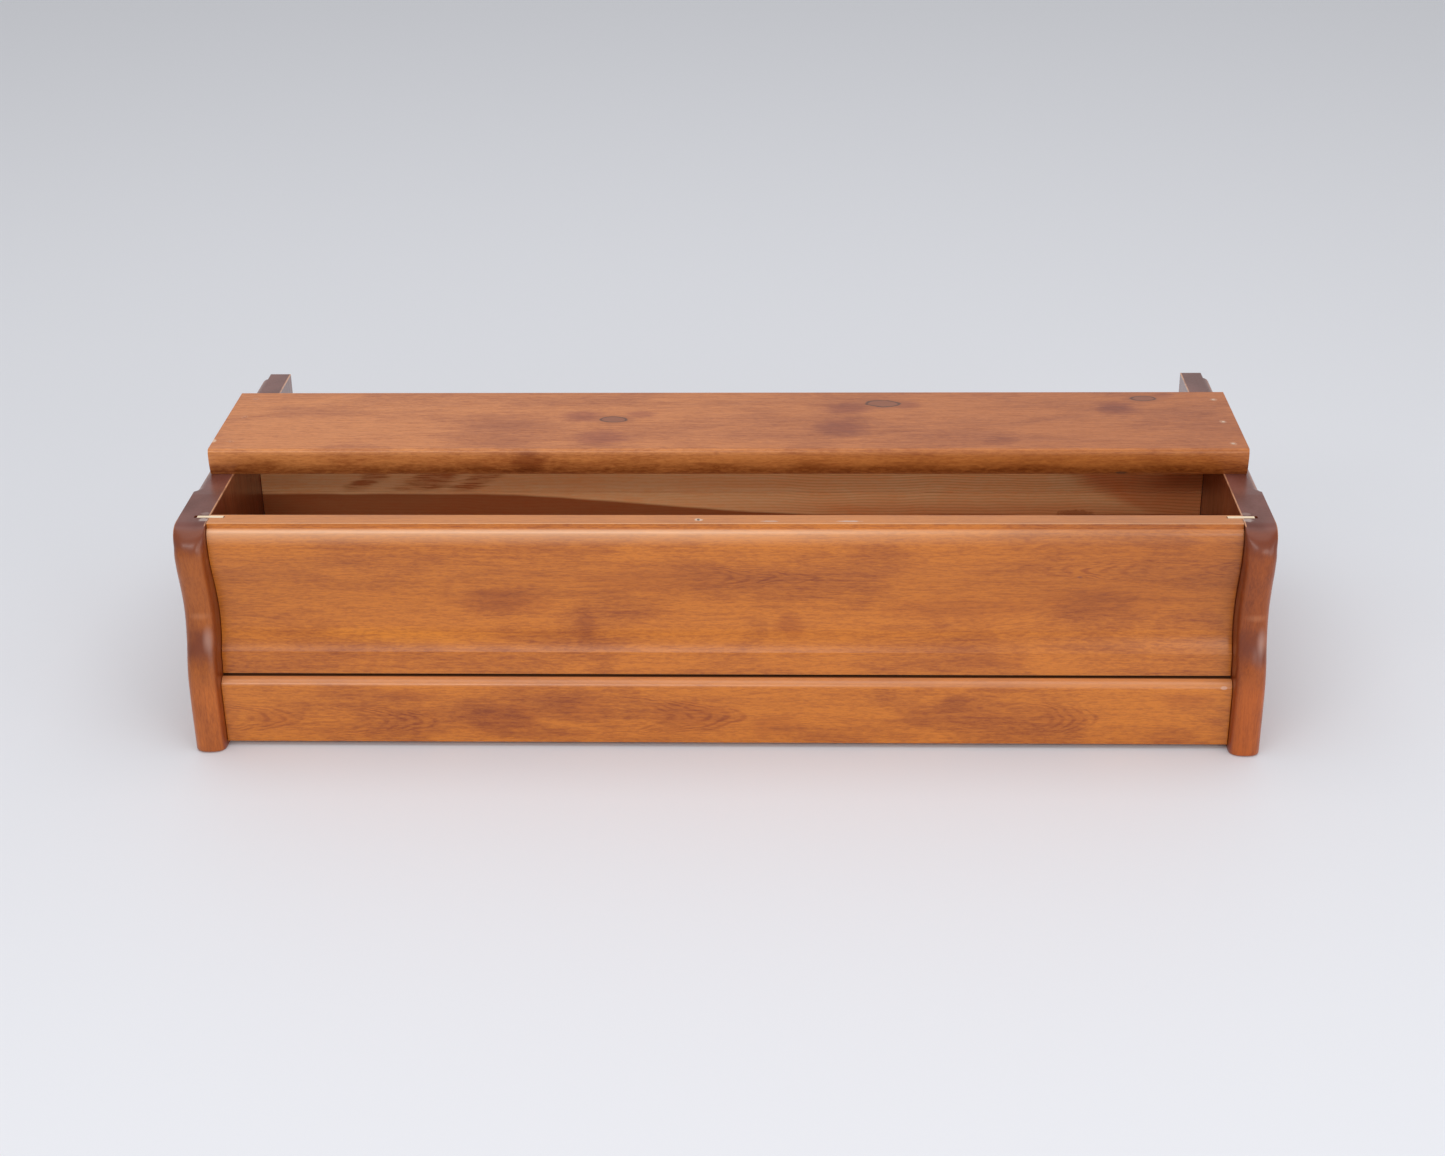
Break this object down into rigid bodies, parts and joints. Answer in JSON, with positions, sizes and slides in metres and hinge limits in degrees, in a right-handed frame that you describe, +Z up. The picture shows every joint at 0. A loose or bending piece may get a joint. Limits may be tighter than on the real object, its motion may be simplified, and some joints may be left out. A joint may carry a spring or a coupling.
{
  "type": "storage bench",
  "caption": "Low wooden storage bench with S-curved sides, a moulded front panel and a narrow board across the top over an open storage well.",
  "frame": {"origin": "centre of the rectangle that the bench stands on, at floor level", "axes": "+X along the bench's length to the right as seen from the front, +Y from the front panel to the open rear, +Z up"},
  "size_m": [0.954, 0.3965, 0.2393],
  "materials": {
    "stained_board": "honey-orange stain under satin lacquer, fine horizontal grain",
    "stained_top_board": "honey-orange stain under satin lacquer, a little pinker and more worn",
    "stained_side": "red-brown stain under satin lacquer, darker on end grain",
    "raw_pine": "planed, unfinished",
    "birch_plywood": "sanded, unfinished",
    "beech_biscuit": "pressed beech, unfinished",
    "fastener_steel": "bright zinc"
  },
  "bodies": {
    "root": {"left_front_stile": "stained_side", "right_front_stile": "stained_side", "left_side_panel": "stained_side", "right_side_panel": "stained_side", "front_panel": "stained_board", "lower_front_board": "stained_board", "top_board": "stained_top_board", "rear_panel_top_stave": "raw_pine", "rear_panel_middle_stave": "raw_pine", "rear_panel_bottom_stave": "raw_pine", "bottom_panel": "birch_plywood", "front_batten": "raw_pine", "rear_batten": "raw_pine", "left_batten": "raw_pine", "right_batten": "raw_pine", "front_batten_screw_1": "fastener_steel", "front_batten_screw_2": "fastener_steel", "front_batten_screw_3": "fastener_steel", "front_panel_low_biscuit_left": "beech_biscuit", "front_panel_low_biscuit_right": "beech_biscuit", "front_panel_top_biscuit_left": "beech_biscuit", "front_panel_top_biscuit_right": "beech_biscuit", "left_batten_screw_1": "fastener_steel", "left_batten_screw_2": "fastener_steel", "lower_board_biscuit_left": "beech_biscuit", "lower_board_biscuit_right": "beech_biscuit", "rear_batten_screw_1": "fastener_steel", "rear_batten_screw_2": "fastener_steel", "rear_batten_screw_3": "fastener_steel", "rear_panel_low_biscuit_left": "beech_biscuit", "rear_panel_low_biscuit_right": "beech_biscuit", "rear_panel_top_biscuit_left": "beech_biscuit", "rear_panel_top_biscuit_right": "beech_biscuit", "right_batten_screw_1": "fastener_steel", "right_batten_screw_2": "fastener_steel", "top_board_nail_left_1": "fastener_steel", "top_board_nail_left_2": "fastener_steel", "top_board_nail_left_3": "fastener_steel", "top_board_nail_right_1": "fastener_steel", "top_board_nail_right_2": "fastener_steel", "top_board_nail_right_3": "fastener_steel"}
  },
  "joints": []
}
